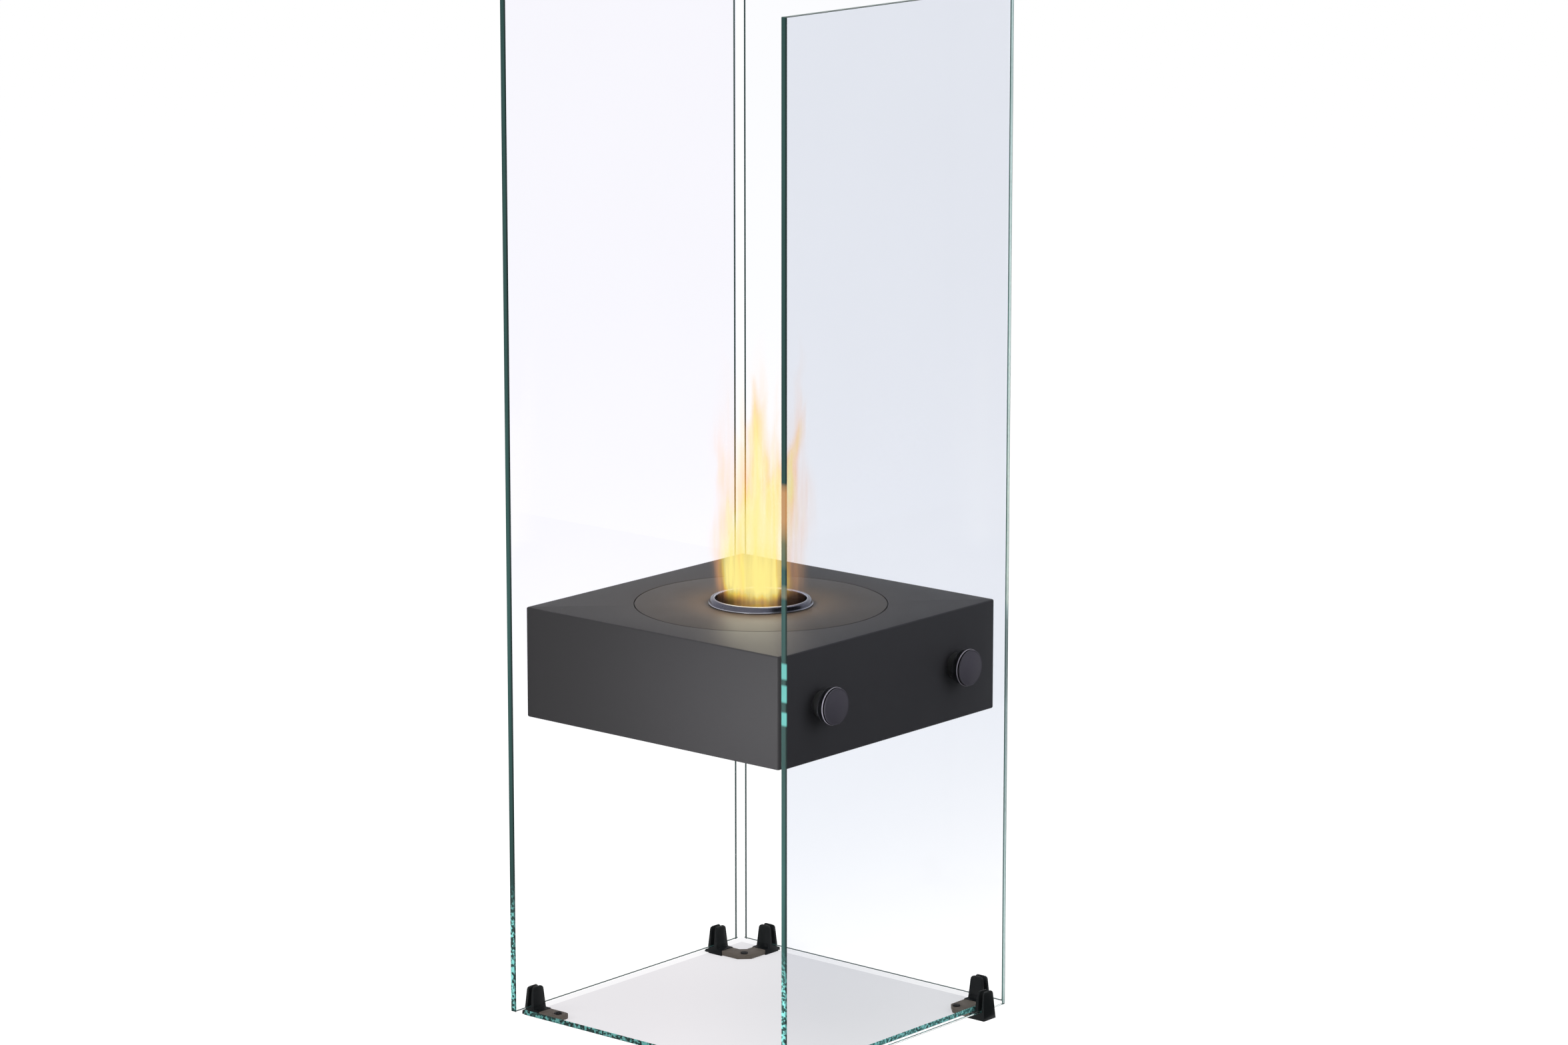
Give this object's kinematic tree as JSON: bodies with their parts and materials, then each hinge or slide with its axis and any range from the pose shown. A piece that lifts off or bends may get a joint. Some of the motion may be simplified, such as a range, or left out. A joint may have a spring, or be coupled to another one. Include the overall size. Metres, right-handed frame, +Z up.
{
  "type": "bioethanol fireplace",
  "caption": "Tall free-standing bioethanol fireplace: clear glass walls on moulded shoes hold a square steel burner box between them, open at the front and top, with a lift-out round burner.",
  "frame": {"origin": "centre of the footprint's bounding box, on the floor under the soles of the shoes", "axes": "+Z up, -Y towards the open front, +X towards the right side panel seen from the front"},
  "size_m": [0.435, 0.4118, 1.2],
  "materials": {
    "wall_glass": "clear float glass, ground green edges",
    "base_glass": "clear float glass, faint grey cast, ground green edges",
    "shoe_plastic": "black moulded plastic, satin",
    "bracket_steel": "warm grey steel, satin",
    "rubber": "black rubber, matt",
    "powder_coat": "charcoal powder coat, fine texture, satin",
    "plate_coat": "warm grey heat-resistant coat, satin",
    "black_steel": "blackened steel, satin",
    "rim_steel": "polished stainless steel, heat-darkened",
    "tank_steel": "brushed stainless steel",
    "ceramic_fibre": "compressed ceramic fibre, matt"
  },
  "bodies": {
    "tower": {"glass_panel_left": "wall_glass", "glass_panel_right": "wall_glass", "glass_panel_rear": "wall_glass", "base_glass": "base_glass", "shoe_left_front": "shoe_plastic", "shoe_left_rear": "shoe_plastic", "shoe_right_front": "shoe_plastic", "shoe_right_rear": "shoe_plastic", "shoe_rear_left": "shoe_plastic", "shoe_rear_right": "shoe_plastic", "front_arm_left": "bracket_steel", "corner_bracket_left": "bracket_steel", "bumper_front_left": "rubber", "bumper_rear_left": "rubber", "front_arm_right": "bracket_steel", "corner_bracket_right": "bracket_steel", "bumper_front_right": "rubber", "bumper_rear_right": "rubber", "box_casing": "powder_coat", "box_cover": "powder_coat", "cover_screw_front_left": "black_steel", "cover_screw_front_right": "black_steel", "cover_screw_rear_left": "black_steel", "cover_screw_rear_right": "black_steel", "standoff_head_left_front": "black_steel", "standoff_gasket_left_front": "rubber", "standoff_inner_gasket_left_front": "rubber", "standoff_spacer_left_front": "black_steel", "standoff_nut_left_front": "tank_steel", "standoff_head_left_rear": "black_steel", "standoff_gasket_left_rear": "rubber", "standoff_inner_gasket_left_rear": "rubber", "standoff_spacer_left_rear": "black_steel", "standoff_nut_left_rear": "tank_steel", "standoff_head_right_front": "black_steel", "standoff_gasket_right_front": "rubber", "standoff_inner_gasket_right_front": "rubber", "standoff_spacer_right_front": "black_steel", "standoff_nut_right_front": "tank_steel", "standoff_head_right_rear": "black_steel", "standoff_gasket_right_rear": "rubber", "standoff_inner_gasket_right_rear": "rubber", "standoff_spacer_right_rear": "black_steel", "standoff_nut_right_rear": "tank_steel"},
    "burner": {"burner_plate": "plate_coat", "burner_rim": "rim_steel", "burner_tank": "tank_steel", "burner_wick": "ceramic_fibre"}
  },
  "joints": [
    {"name": "burner_lift", "type": "slide", "parent": "tower", "child": "burner", "axis": [0, 0, 1], "range_m": [0, 0.15]}
  ]
}
